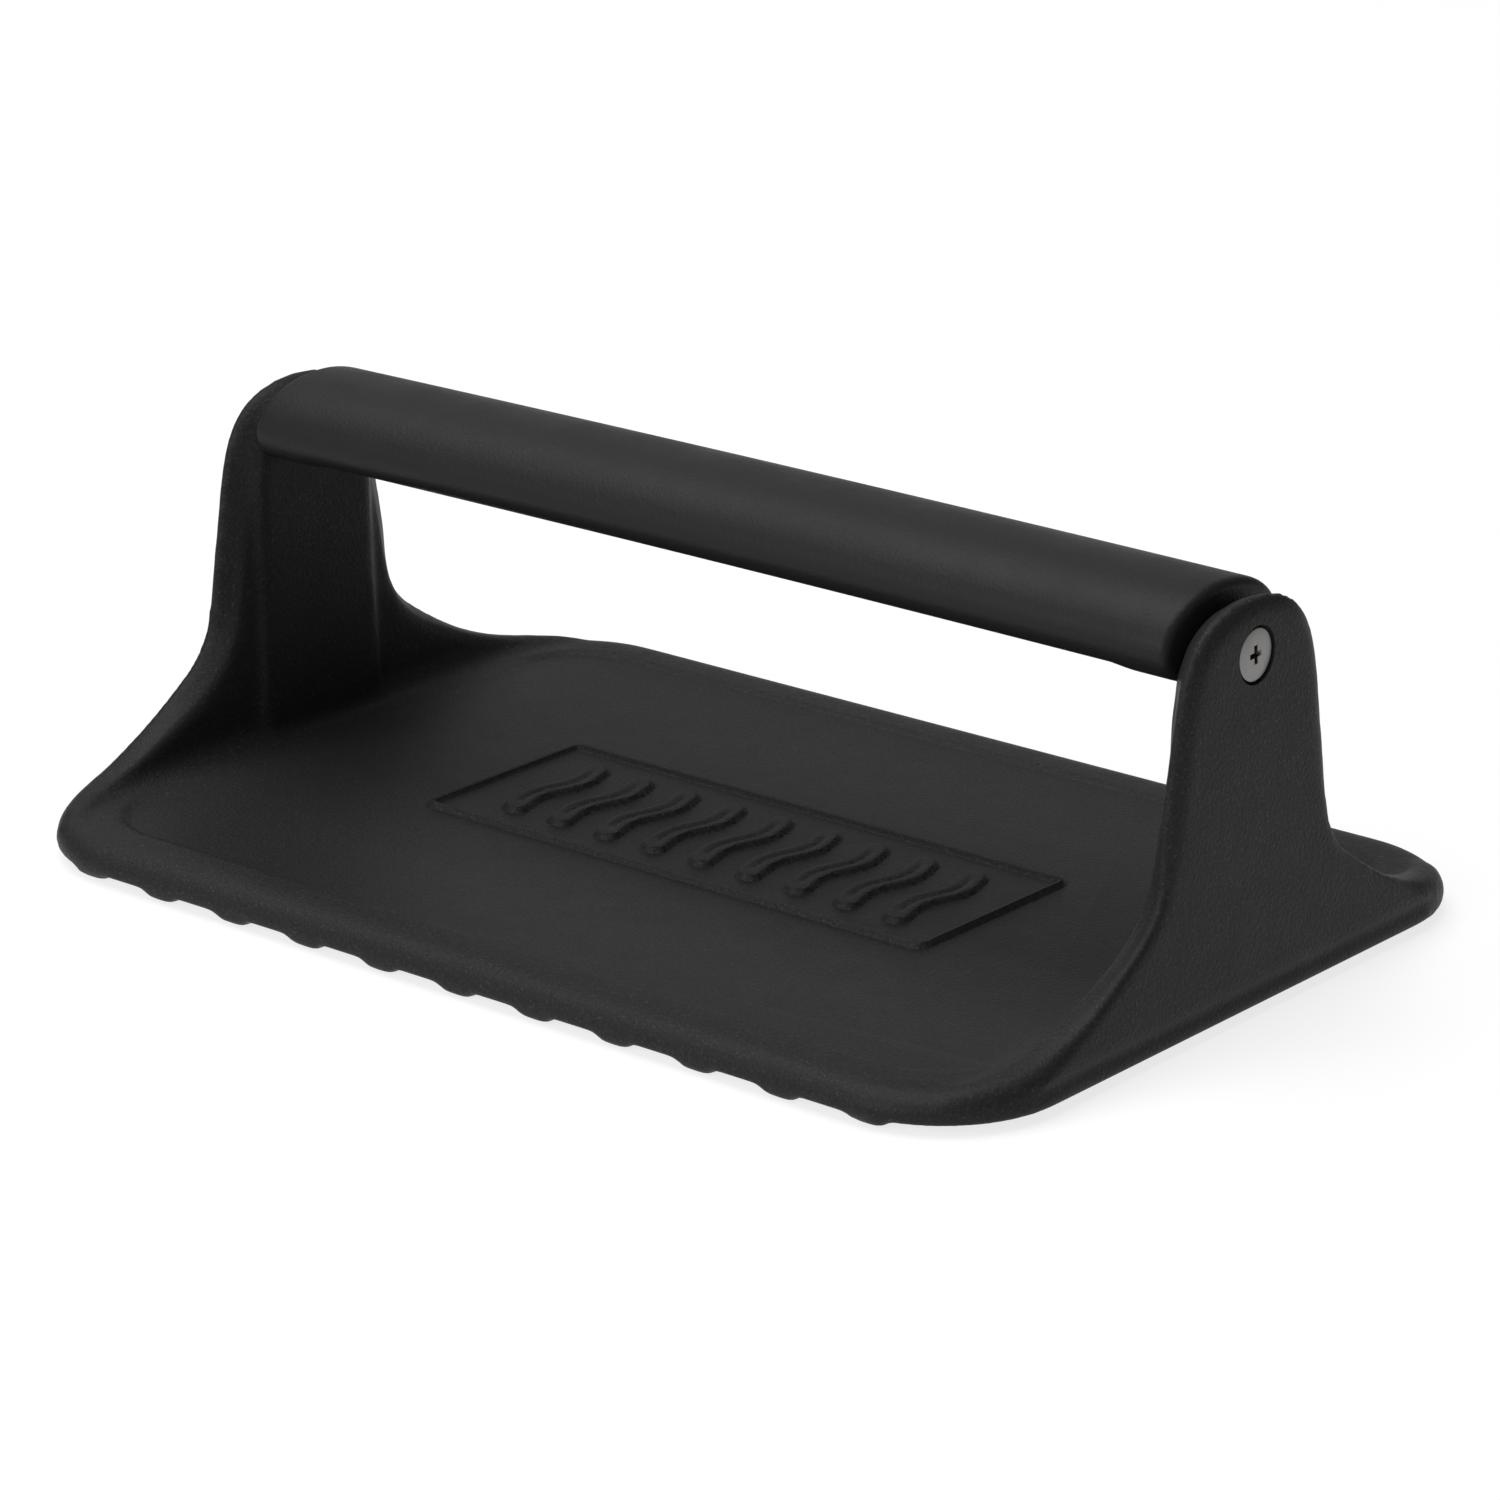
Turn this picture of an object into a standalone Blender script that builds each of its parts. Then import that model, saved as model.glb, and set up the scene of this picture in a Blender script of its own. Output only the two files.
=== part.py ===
"""Cast-iron bacon press: a ribbed plate with two end walls and a moulded grip screwed between them.

Metres, +Z up. The origin is on the ground under the middle of the plate, +X runs along the grip.
"""

from math import cos, pi, radians, sin

import bmesh
import bpy
from mathutils import Matrix

# Plate
BASE_LENGTH = 0.2200
BASE_WIDTH = 0.1538
CORNER_RADIUS = 0.0233
PLATE_UNDERSIDE = 0.0020
FLOOR_HEIGHT = 0.0065
LAND_HEIGHT = 0.0072
LAND_WIDTH = 0.0114
RECESS_CORNER_RADIUS = 0.0150

# Searing ribs under the plate
RIB_PITCH = 0.0177
RIB_COUNT = 11
RIB_WIDTH = 0.0066
RIB_LENGTH = 0.1512
RIB_ROUNDING = 0.0015

# End walls
WALL_TOP = 0.0746
WALL_INNER_FOOT = 0.1036
WALL_DRAFT = 0.0022
WALL_FILLET = 0.0050
PAD_FACE = 0.1034
PAD_HALF_WIDTH = 0.0148
PAD_SPREAD = 0.0010
PAD_TOP = 0.0715

# Grip
GRIP_HALF_LENGTH = 0.1031
GRIP_HALF_WIDTH = 0.0165
GRIP_CENTRE_HEIGHT = 0.0673
GRIP_RISE = 0.0096
GRIP_DROP = 0.0070
GRIP_END_ROUNDING = 0.0024

# Countersunk M5 screws and their threaded inserts
SCREW_HEIGHT = 0.0648
SCREW_LENGTH = 0.0200
SCREW_RADIUS = 0.0025
HEAD_RADIUS = 0.0046
HEAD_RIM = 0.0004
HEAD_SINK = 0.0003
HEAD_RING = 0.0005
CROSS_LENGTH = 0.0046
CROSS_WIDTH = 0.0010
CROSS_DEPTH = 0.0020
INSERT_RADIUS = 0.0040
INSERT_LENGTH = 0.0120
INSERT_CHAMFER = 0.0004
POCKET_DEPTH = 0.0148
GAP = 0.0003

# Raised panel on the floor: a plain border round a row of wavy rashers
PANEL_LENGTH = 0.1148
PANEL_WIDTH = 0.0426
PANEL_LINE = 0.0015
PANEL_CORNER_RADIUS = 0.0012
PANEL_RELIEF = 0.0007
RASHER_COUNT = 9
RASHER_LENGTH = 0.0290
RASHER_WIDTH = 0.0050
RASHER_PITCH = 0.0110
RASHER_SWING = 0.0010
RASHER_WAVES = 1.5
RASHER_STEPS = 12

OVERSHOOT = 0.0050
HALF_LENGTH = BASE_LENGTH / 2
HALF_WIDTH = BASE_WIDTH / 2
ALONG_X = Matrix(((0, 0, 1, 0), (1, 0, 0, 0), (0, 1, 0, 0), (0, 0, 0, 1)))
ALONG_Z = Matrix.Identity(4)


def start_collection(name):
    collection = bpy.data.collections.new(name)
    bpy.context.scene.collection.children.link(collection)
    return collection


def principled(name, colour, roughness, metallic=0.0):
    material = bpy.data.materials.new(name)
    material.use_nodes = True
    shader = material.node_tree.nodes["Principled BSDF"]
    shader.inputs["Base Color"].default_value = (*colour, 1.0)
    shader.inputs["Roughness"].default_value = roughness
    shader.inputs["Metallic"].default_value = metallic
    return material


def place(name, mesh, collection, material=None):
    piece = bpy.data.objects.new(name, mesh)
    collection.objects.link(piece)
    if material:
        mesh.materials.append(material)
        mesh.shade_smooth()
        mesh.set_sharp_from_angle(angle=radians(35))
    else:
        piece.hide_render = True
        piece.display_type = "WIRE"
    return piece


def extruded_outline(name, loops, low, high, frame):
    """Fill closed 2D outlines and extrude them from low to high along the frame's third axis."""
    curve = bpy.data.curves.new(name, "CURVE")
    curve.dimensions = "2D"
    curve.fill_mode = "BOTH"
    curve.extrude = (high - low) / 2
    for loop in loops:
        spline = curve.splines.new("POLY")
        spline.points.add(len(loop) - 1)
        for point, (u, v) in zip(spline.points, loop):
            point.co = (u, v, 0, 1)
        spline.use_cyclic_u = True
    guide = bpy.data.objects.new(name, curve)
    bpy.context.scene.collection.objects.link(guide)
    evaluated = guide.evaluated_get(bpy.context.evaluated_depsgraph_get())
    mesh = bpy.data.meshes.new_from_object(evaluated)
    bpy.data.objects.remove(guide)
    bpy.data.curves.remove(curve)
    return finished_mesh(mesh, frame @ Matrix.Translation((0, 0, (low + high) / 2)))


def finished_mesh(mesh, placing):
    """Weld a mesh, put it in place and turn its faces outwards."""
    shape = bmesh.new()
    shape.from_mesh(mesh)
    bmesh.ops.remove_doubles(shape, verts=shape.verts, dist=1e-6)
    bmesh.ops.transform(shape, matrix=placing, verts=shape.verts)
    bmesh.ops.recalc_face_normals(shape, faces=shape.faces)
    shape.to_mesh(mesh)
    shape.free()
    return mesh


def arc(centre, radius, start, end, steps):
    """Points on an arc, in degrees from its first axis, both ends included."""
    angles = [radians(start + (end - start) * step / steps) for step in range(steps + 1)]
    return [(centre[0] + radius * cos(angle), centre[1] + radius * sin(angle)) for angle in angles]


def rounded_rectangle(half_u, half_v, radius, steps=8):
    corners = ((1, 1, 0), (-1, 1, 90), (-1, -1, 180), (1, -1, 270))
    outline = []
    for u, v, start in corners:
        centre = (u * (half_u - radius), v * (half_v - radius))
        outline += arc(centre, radius, start, start + 90, steps)
    return outline


def smooth_through(points, steps):
    """A Catmull-Rom curve through the points, both ends included."""
    padded = [points[0], *points, points[-1]]
    curve = []
    for before, start, end, after in zip(padded, padded[1:], padded[2:], padded[3:]):
        for step in range(steps):
            t = step / steps
            curve.append(
                tuple(
                    0.5
                    * (
                        2 * b
                        + (c - a) * t
                        + (2 * a - 5 * b + 4 * c - d) * t**2
                        + (3 * b - a - 3 * c + d) * t**3
                    )
                    for a, b, c, d in zip(before, start, end, after)
                )
            )
    return curve + [points[-1]]


def end_view_outline():
    """The casting seen along X: rounded rim, concave sweep up each side, rounded upright top."""
    rim = [
        (HALF_WIDTH - 0.0022, PLATE_UNDERSIDE),
        (HALF_WIDTH - 0.0007, PLATE_UNDERSIDE + 0.0004),
        (HALF_WIDTH, PLATE_UNDERSIDE + 0.0014),
        (HALF_WIDTH, PLATE_UNDERSIDE + 0.0024),
        (HALF_WIDTH - 0.0006, PLATE_UNDERSIDE + 0.0034),
        (HALF_WIDTH - 0.0020, PLATE_UNDERSIDE + 0.0042),
    ]
    sweep = smooth_through(
        [
            (0.0710, 0.0068),
            (0.0640, 0.0075),
            (0.0536, 0.0097),
            (0.0418, 0.0146),
            (0.0318, 0.0214),
            (0.0254, 0.0290),
            (0.0224, 0.0380),
            (0.0201, 0.0520),
            (0.0183, 0.0620),
            (0.0152, 0.0685),
            (0.0090, 0.0730),
            (0.0000, WALL_TOP),
        ],
        4,
    )
    half = rim + sweep
    return half + [(-y, z) for y, z in reversed(half[:-1])]


def drafted_cavity(guides):
    """The space between the end walls: rounded in plan, filleted at its foot, wider at its top."""
    outline = rounded_rectangle(WALL_INNER_FOOT, HALF_WIDTH - 0.0050, 0.0180)
    mesh = extruded_outline("cavity", [outline], LAND_HEIGHT, WALL_TOP + OVERSHOOT, ALONG_Z)
    for vertex in mesh.vertices:
        if vertex.co.z > FLOOR_HEIGHT + OVERSHOOT:
            vertex.co.x += WALL_DRAFT if vertex.co.x > 0 else -WALL_DRAFT
    foot = bmesh.new()
    foot.from_mesh(mesh)
    edges = [edge for edge in foot.edges if all(v.co.z < LAND_HEIGHT + 1e-5 for v in edge.verts)]
    rim = [edge for edge in edges if edge.calc_face_angle(0) > 1]
    bmesh.ops.bevel(
        foot,
        geom=rim,
        offset=WALL_FILLET,
        offset_type="OFFSET",
        affect="EDGES",
        segments=5,
        profile=0.5,
        clamp_overlap=False,
    )
    foot.to_mesh(mesh)
    foot.free()
    return place("cavity_cutter", mesh, guides)


def boolean(piece, operation, operand):
    modifier = piece.modifiers.new(f"{operation.lower()} {operand.name}", "BOOLEAN")
    modifier.operation = operation
    modifier.object = operand
    modifier.solver = "EXACT"


def rib(name, x, guides):
    """One searing rib: a bar along Y with rounded lower edges and a narrow flat crest."""
    shape = bmesh.new()
    height = FLOOR_HEIGHT - 0.0020
    bmesh.ops.create_cube(shape, size=1)
    bmesh.ops.scale(shape, vec=(RIB_WIDTH, RIB_LENGTH, height), verts=shape.verts)
    bmesh.ops.translate(shape, vec=(x, 0, height / 2), verts=shape.verts)
    crest = [edge for edge in shape.edges if all(v.co.z < 1e-6 for v in edge.verts)]
    bmesh.ops.bevel(
        shape,
        geom=crest,
        offset=RIB_ROUNDING,
        offset_type="OFFSET",
        affect="EDGES",
        segments=3,
        profile=0.5,
    )
    mesh = bpy.data.meshes.new(name)
    shape.to_mesh(mesh)
    shape.free()
    return place(name, mesh, guides)


def pad_outline():
    """A clamping pad seen along X: it widens towards the floor and rounds off behind the grip."""
    foot = FLOOR_HEIGHT - 0.0010
    right = [
        (PAD_HALF_WIDTH + PAD_SPREAD, foot),
        (PAD_HALF_WIDTH, PAD_TOP - 0.0155),
        (PAD_HALF_WIDTH - 0.0012, PAD_TOP - 0.0080),
        (PAD_HALF_WIDTH - 0.0048, PAD_TOP - 0.0026),
        (PAD_HALF_WIDTH - 0.0098, PAD_TOP),
    ]
    return right + [(-y, z) for y, z in reversed(right)]


def rasher_outline(x):
    """A wavy strip along Y, of even width."""
    crest = []
    for step in range(RASHER_STEPS + 1):
        share = step / RASHER_STEPS
        y = RASHER_LENGTH * (share - 0.5)
        crest.append((x + RASHER_SWING * sin(2 * pi * RASHER_WAVES * (share - 0.5)), y))
    right = [(u + RASHER_WIDTH / 2, y) for u, y in crest]
    left = [(u - RASHER_WIDTH / 2, y) for u, y in reversed(crest)]
    return right + left


def turned(name, profile, axis_matrix, steps):
    """Turn a profile of (radius, height) points, listed from its top down, about its own axis."""
    mesh = bpy.data.meshes.new(name)
    points = [(radius, 0, height) for radius, height in profile]
    edges = [(index, index + 1) for index in range(len(points) - 1)]
    mesh.from_pydata(points, edges, [])
    source = bpy.data.objects.new(name, mesh)
    bpy.context.scene.collection.objects.link(source)
    screw = source.modifiers.new("turn", "SCREW")
    screw.axis = "Z"
    screw.steps = steps
    screw.render_steps = steps
    screw.use_merge_vertices = True
    screw.merge_threshold = 1e-5
    evaluated = source.evaluated_get(bpy.context.evaluated_depsgraph_get())
    solid = bpy.data.meshes.new_from_object(evaluated)
    bpy.data.objects.remove(source)
    return finished_mesh(solid, axis_matrix)


def screw_frame(side, distance):
    """A frame on a screw's axis, with its Z pointing out of that end of the press."""
    turn = Matrix.Rotation(side * pi / 2, 4, "Y")
    return Matrix.Translation((side * distance, 0, SCREW_HEIGHT)) @ turn


def make_base(parts, guides, iron):
    block = extruded_outline(
        "block",
        [rounded_rectangle(HALF_LENGTH, HALF_WIDTH, CORNER_RADIUS)],
        PLATE_UNDERSIDE - OVERSHOOT,
        WALL_TOP + OVERSHOOT,
        ALONG_Z,
    )
    base = place("press_base", block, parts, iron)
    reach = HALF_LENGTH + OVERSHOOT
    side_mesh = extruded_outline("side", [end_view_outline()], -reach, reach, ALONG_X)
    boolean(base, "INTERSECT", place("end_view_shape", side_mesh, guides))
    boolean(base, "DIFFERENCE", drafted_cavity(guides))
    recess = extruded_outline(
        "recess",
        [
            rounded_rectangle(
                WALL_INNER_FOOT - WALL_FILLET + 0.0010,
                HALF_WIDTH - LAND_WIDTH,
                RECESS_CORNER_RADIUS,
            )
        ],
        FLOOR_HEIGHT,
        LAND_HEIGHT + 0.0010,
        ALONG_Z,
    )
    boolean(base, "DIFFERENCE", place("recess_cutter", recess, guides))
    for side, word in ((-1, "left"), (1, "right")):
        low, high = sorted((side * PAD_FACE, side * (PAD_FACE + 0.0040)))
        pad = extruded_outline("pad", [pad_outline()], low, high, ALONG_X)
        boolean(base, "UNION", place(f"{word}_pad", pad, guides))
    for index in range(RIB_COUNT):
        x = (index - (RIB_COUNT - 1) / 2) * RIB_PITCH
        boolean(base, "UNION", rib(f"rib_{index + 1}", x, guides))
    add_panel(base, guides)
    for side, word in ((-1, "left"), (1, "right")):
        boolean(base, "DIFFERENCE", screw_hole(side, word, guides))


def add_panel(base, guides):
    outer = rounded_rectangle(PANEL_LENGTH / 2, PANEL_WIDTH / 2, PANEL_CORNER_RADIUS, 2)
    inner = rounded_rectangle(
        PANEL_LENGTH / 2 - PANEL_LINE, PANEL_WIDTH / 2 - PANEL_LINE, PANEL_CORNER_RADIUS / 2, 2
    )
    low = FLOOR_HEIGHT - 0.0010
    high = FLOOR_HEIGHT + PANEL_RELIEF
    border = extruded_outline("border", [outer, inner], low, high, ALONG_Z)
    boolean(base, "UNION", place("panel_border", border, guides))
    for number in range(RASHER_COUNT):
        outline = rasher_outline((number - (RASHER_COUNT - 1) / 2) * RASHER_PITCH)
        strip = extruded_outline("strip", [outline], low, high, ALONG_Z)
        boolean(base, "UNION", place(f"rasher_{number + 1}", strip, guides))


def screw_hole(side, word, guides):
    """A clearance hole through the wall and pad, with a 90 degree countersink."""
    mouth = HEAD_RADIUS + HEAD_RING
    shank = SCREW_RADIUS + GAP + 0.0001
    depth = HALF_LENGTH - PAD_FACE + OVERSHOOT / 2
    cone_start = HEAD_SINK + HEAD_RIM
    profile = [
        (0, 0.0010),
        (mouth, 0.0010),
        (mouth, -cone_start),
        (shank, -cone_start - (mouth - shank)),
        (shank, -depth),
        (0, -depth),
    ]
    mesh = turned("hole", profile, screw_frame(side, HALF_LENGTH), 28)
    return place(f"{word}_hole_cutter", mesh, guides)


def make_grip(parts, guides, plastic):
    outline = []
    for step in range(48):
        angle = 2 * pi * step / 48
        rise = GRIP_RISE if sin(angle) > 0 else GRIP_DROP
        outline.append((GRIP_HALF_WIDTH * cos(angle), GRIP_CENTRE_HEIGHT + rise * sin(angle)))
    mesh = extruded_outline("grip", [outline], -GRIP_HALF_LENGTH, GRIP_HALF_LENGTH, ALONG_X)
    shape = bmesh.new()
    shape.from_mesh(mesh)
    rim = [edge for edge in shape.edges if edge.calc_face_angle(0) > 1]
    bmesh.ops.bevel(
        shape,
        geom=rim,
        offset=GRIP_END_ROUNDING,
        offset_type="OFFSET",
        affect="EDGES",
        segments=4,
        profile=0.5,
    )
    shape.to_mesh(mesh)
    shape.free()
    grip = place("handle_grip", mesh, parts, plastic)
    for side, word in ((-1, "left"), (1, "right")):
        radius = INSERT_RADIUS + GAP
        profile = [(0, 0.0010), (radius, 0.0010), (radius, -POCKET_DEPTH), (0, -POCKET_DEPTH)]
        pocket = turned("pocket", profile, screw_frame(side, GRIP_HALF_LENGTH), 28)
        boolean(grip, "DIFFERENCE", place(f"{word}_pocket_cutter", pocket, guides))


def make_fasteners(parts, guides, steel, brass):
    for side, word in ((-1, "left"), (1, "right")):
        cone_foot = HEAD_RIM + HEAD_RADIUS - SCREW_RADIUS
        profile = [
            (0, 0),
            (HEAD_RADIUS, 0),
            (HEAD_RADIUS, -HEAD_RIM),
            (SCREW_RADIUS, -cone_foot),
            (SCREW_RADIUS, 0.0005 - SCREW_LENGTH),
            (SCREW_RADIUS - 0.0005, -SCREW_LENGTH),
            (0, -SCREW_LENGTH),
        ]
        head = screw_frame(side, HALF_LENGTH - HEAD_SINK)
        screw = place(f"{word}_screw", turned("screw", profile, head, 32), parts, steel)
        for turn in (0, 90):
            boolean(screw, "DIFFERENCE", cross_slot(word, turn, head, guides))

        inner = SCREW_RADIUS + GAP
        outer = INSERT_RADIUS
        tube = bmesh.new()
        bmesh.ops.create_cone(
            tube, cap_ends=True, segments=32, radius1=outer, radius2=outer, depth=INSERT_LENGTH
        )
        rims = [edge for edge in tube.edges if edge.calc_face_angle(0) > 1]
        bmesh.ops.bevel(
            tube,
            geom=rims,
            offset=INSERT_CHAMFER,
            offset_type="OFFSET",
            affect="EDGES",
            segments=1,
            profile=0.5,
        )
        mesh = bpy.data.meshes.new("insert")
        tube.to_mesh(mesh)
        tube.free()
        middle = screw_frame(side, GRIP_HALF_LENGTH - INSERT_LENGTH / 2)
        insert = place(f"{word}_insert", finished_mesh(mesh, middle), parts, brass)
        reach = INSERT_LENGTH / 2 + 0.0010
        bore = [(0, reach), (inner, reach), (inner, -reach), (0, -reach)]
        bore_mesh = turned("bore", bore, middle, 28)
        boolean(insert, "DIFFERENCE", place(f"{word}_bore_cutter", bore_mesh, guides))


def cross_slot(word, turn, head, guides):
    """One of the two crossed slots of a screw's drive recess, narrower at its bottom."""
    shape = bmesh.new()
    bmesh.ops.create_cube(shape, size=1)
    bmesh.ops.scale(shape, vec=(CROSS_LENGTH, CROSS_WIDTH, 2 * CROSS_DEPTH), verts=shape.verts)
    bottom = [vertex for vertex in shape.verts if vertex.co.z < 0]
    bmesh.ops.scale(shape, vec=(0.3, 0.6, 1), verts=bottom)
    bmesh.ops.transform(
        shape, matrix=head @ Matrix.Rotation(radians(turn), 4, "Z"), verts=shape.verts
    )
    mesh = bpy.data.meshes.new("slot")
    shape.to_mesh(mesh)
    shape.free()
    return place(f"{word}_cross_{turn}", mesh, guides)


def main():
    for leftover in list(bpy.data.objects):
        bpy.data.objects.remove(leftover)
    parts = start_collection("bacon_press")
    guides = start_collection("cutters")
    iron = principled("black_coated_cast_iron", (0.018, 0.018, 0.019), 0.45)
    plastic = principled("black_moulded_grip", (0.016, 0.016, 0.017), 0.38)
    steel = principled("plated_screw_steel", (0.62, 0.61, 0.59), 0.30, 1.0)
    brass = principled("insert_brass", (0.72, 0.52, 0.24), 0.35, 1.0)
    make_base(parts, guides, iron)
    make_grip(parts, guides, plastic)
    make_fasteners(parts, guides, steel, brass)


main()
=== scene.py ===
from math import cos, pi, radians, sin

import bmesh
import bpy
import numpy as np
from mathutils import Matrix, Vector


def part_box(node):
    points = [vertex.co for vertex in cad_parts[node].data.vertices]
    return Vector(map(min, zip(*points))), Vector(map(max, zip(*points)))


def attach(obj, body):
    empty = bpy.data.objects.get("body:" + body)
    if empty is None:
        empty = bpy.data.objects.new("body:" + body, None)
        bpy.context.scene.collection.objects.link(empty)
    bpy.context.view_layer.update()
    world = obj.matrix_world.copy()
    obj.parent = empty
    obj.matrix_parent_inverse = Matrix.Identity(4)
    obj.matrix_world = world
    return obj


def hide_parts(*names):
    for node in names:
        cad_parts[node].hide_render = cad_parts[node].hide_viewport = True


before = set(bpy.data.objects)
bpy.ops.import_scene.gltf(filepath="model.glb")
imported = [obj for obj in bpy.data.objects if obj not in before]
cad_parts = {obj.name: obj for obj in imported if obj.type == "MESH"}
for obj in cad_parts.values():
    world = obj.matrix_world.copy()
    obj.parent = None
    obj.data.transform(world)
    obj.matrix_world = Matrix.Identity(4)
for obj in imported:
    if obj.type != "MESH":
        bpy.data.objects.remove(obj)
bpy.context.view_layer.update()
print("frame loaded:", sorted(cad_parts))

mm = 0.001  # shapes are drawn in millimetres and settled in metres


def boxInMm(node):
    low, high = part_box(node)
    return low / mm, high / mm


baseHigh = boxInMm("press_base")[1]
screwLow, screwHigh = boxInMm("right_screw")
halfLength, halfWidth = baseHigh.x, baseHigh.y
screwAxisHeight = (screwLow.z + screwHigh.z) / 2


def ramp(values, start, end):
    # 0 before start, 1 after end, with a smooth S between them
    share = np.clip((np.asarray(values, float) - start) / (end - start), 0, 1)
    return share * share * (3 - 2 * share)


def smoothLine(points, resolution):
    # a Bezier curve with automatic handles through the points, read back as a list of points
    curve = bpy.data.curves.new("line", "CURVE")
    curve.dimensions = "2D"
    curve.resolution_u = resolution
    spline = curve.splines.new("BEZIER")
    spline.bezier_points.add(len(points) - 1)
    for knot, point in zip(spline.bezier_points, points):
        knot.co = (*point, 0)
        knot.handle_left_type = knot.handle_right_type = "AUTO"
    guide = bpy.data.objects.new("line", curve)
    line = [(vertex.co.x, vertex.co.y) for vertex in guide.to_mesh().vertices]
    guide.to_mesh_clear()
    bpy.data.objects.remove(guide)
    bpy.data.curves.remove(curve)
    return line


def outsideOf(x, y, half, corner):
    # how far places lie outside a round-cornered rectangle, below 0 inside it
    away = np.stack([np.abs(x) - (half[0] - corner), np.abs(y) - (half[1] - corner)])
    return np.linalg.norm(np.clip(away, 0, None), axis=0) + np.clip(away.max(0), None, 0) - corner


def linkedObject(name, data):
    thing = bpy.data.objects.new(name, data)
    bpy.context.scene.collection.objects.link(thing)
    return thing


def newPiece(name, mesh, material, sharpAngle):
    # settles a finished mesh in metres and gives it its material
    mesh.name = name
    mesh.transform(Matrix.Scale(mm, 4))
    mesh.materials.clear()
    mesh.materials.append(material)
    mesh.shade_smooth()
    mesh.set_sharp_from_angle(angle=radians(sharpAngle))
    return linkedObject(name, mesh)


def meshOf(shape, name):
    mesh = bpy.data.meshes.new(name)
    shape.to_mesh(mesh)
    shape.free()
    return mesh


def solidMesh(build, *values):
    # builds one closed solid and reports what it has
    shape = bmesh.new()
    build(shape, *values)
    bmesh.ops.recalc_face_normals(shape, faces=shape.faces)
    openEdges = sum(1 for edge in shape.edges if not edge.is_manifold)
    print("   ", build.__name__, len(shape.faces), "faces, open edges", openEdges)
    return meshOf(shape, build.__name__)


def extrudedFace(shape, face):
    # extrudes a face where it stands and gives back the new one, with no old face left inside the solid
    grown = bmesh.ops.extrude_face_region(shape, geom=[face])["geom"]
    if face.is_valid and all(len(edge.link_faces) > 2 for edge in face.edges):
        bmesh.ops.delete(shape, geom=[face], context="FACES_ONLY")
    return next(item for item in grown if isinstance(item, bmesh.types.BMFace))


def turned(shape, profile, side, steps=40):
    # spins a profile of radius and height about the screw axis of the left (-1) or right (1) end
    chain = [shape.verts.new((radius, 0, height)) for radius, height in profile]
    edges = [shape.edges.new(pair) for pair in zip(chain, chain[1:])]
    bmesh.ops.spin(
        shape, geom=chain + edges, cent=(0, 0, 0), axis=(0, 0, 1), angle=2 * pi, steps=steps,
        use_merge=True,
    )
    bmesh.ops.remove_doubles(shape, verts=shape.verts, dist=1e-4)
    bmesh.ops.transform(shape, matrix=screwPlace(side, halfLength), verts=shape.verts)


def screwPlace(side, reach):
    # stands a shape drawn about Z on the screw axis, facing out of that end
    lie = Matrix.Rotation(side * pi / 2, 4, "Y")
    return Matrix.Translation((side * reach, 0, screwAxisHeight)) @ lie


def appliedMesh(name, mesh, modifiers):
    # runs the modifiers on a mesh through a passing object and gives back the result
    guide = linkedObject(name, mesh)
    for kind, settings in modifiers:
        modifier = guide.modifiers.new(kind.lower(), kind)
        for key, value in settings.items():
            setattr(modifier, key, value)
    view = bpy.context.evaluated_depsgraph_get()
    result = bpy.data.meshes.new_from_object(guide.evaluated_get(view))
    bpy.data.objects.remove(guide)
    return result


def carvedMesh(name, mesh, cutters, added=()):
    # joins solids to a mesh, cuts others out of it and clears them all away
    steps = [("UNION", linkedObject("added", solid)) for solid in added]
    steps += [("DIFFERENCE", linkedObject("cutter", solid)) for solid in cutters]
    result = appliedMesh(name, mesh, [
        ("BOOLEAN", {"operation": operation, "object": guide, "solver": "EXACT"})
        for operation, guide in steps
    ])
    for operation, guide in steps:
        bpy.data.objects.remove(guide)
    return result


def linear(hexColour):
    # an sRGB hex colour as linear RGBA
    channels = [int(hexColour[start:start + 2], 16) / 255 for start in (1, 3, 5)]
    return [c / 12.92 if c <= 0.04045 else ((c + 0.055) / 1.055) ** 2.4 for c in channels] + [1]


def addNode(tree, kind, settings=None, links=None):
    # adds a node, sets its sockets and options and links its inputs
    node = tree.nodes.new(kind)
    for key, value in (settings or {}).items():
        if key in node.inputs:
            node.inputs[key].default_value = value
        else:
            setattr(node, key, value)
    for socket, source in (links or {}).items():
        tree.links.new(source, node.inputs[socket])
    return node


def newMaterial(name, sockets):
    # a material with the values that are the same all over set on its shader
    material = bpy.data.materials.new(name)
    material.use_nodes = True
    shader = material.node_tree.nodes["Principled BSDF"]
    for socket, value in sockets.items():
        shader.inputs[socket].default_value = value
    return material, material.node_tree, shader


ironFinish = {
    "colour": "#202021",
    "wornColour": "#272727",  # where the coat lies thin over a grain
    "speckColour": "#3e3e3e",  # a few bare crests
    "colourAt": (0.35, 0.66, 0.80),  # level of the grain at which each colour is reached
    "roughness": (0.45, 0.49),
    "peelSize": 0.9,  # mm across one dimple of the orange peel
    "peelDepth": 0.10,  # mm
    "castSize": 7.0,  # mm across one wave of the casting under the coating
    "castDepth": 0.02,  # mm
    "grainSize": 0.45,  # mm; a real grain of baked coat is about 0.1 mm, drawn coarser so that it shows
    "grainDepth": 0.045,  # mm, drawn deeper for the same reason
}


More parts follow.
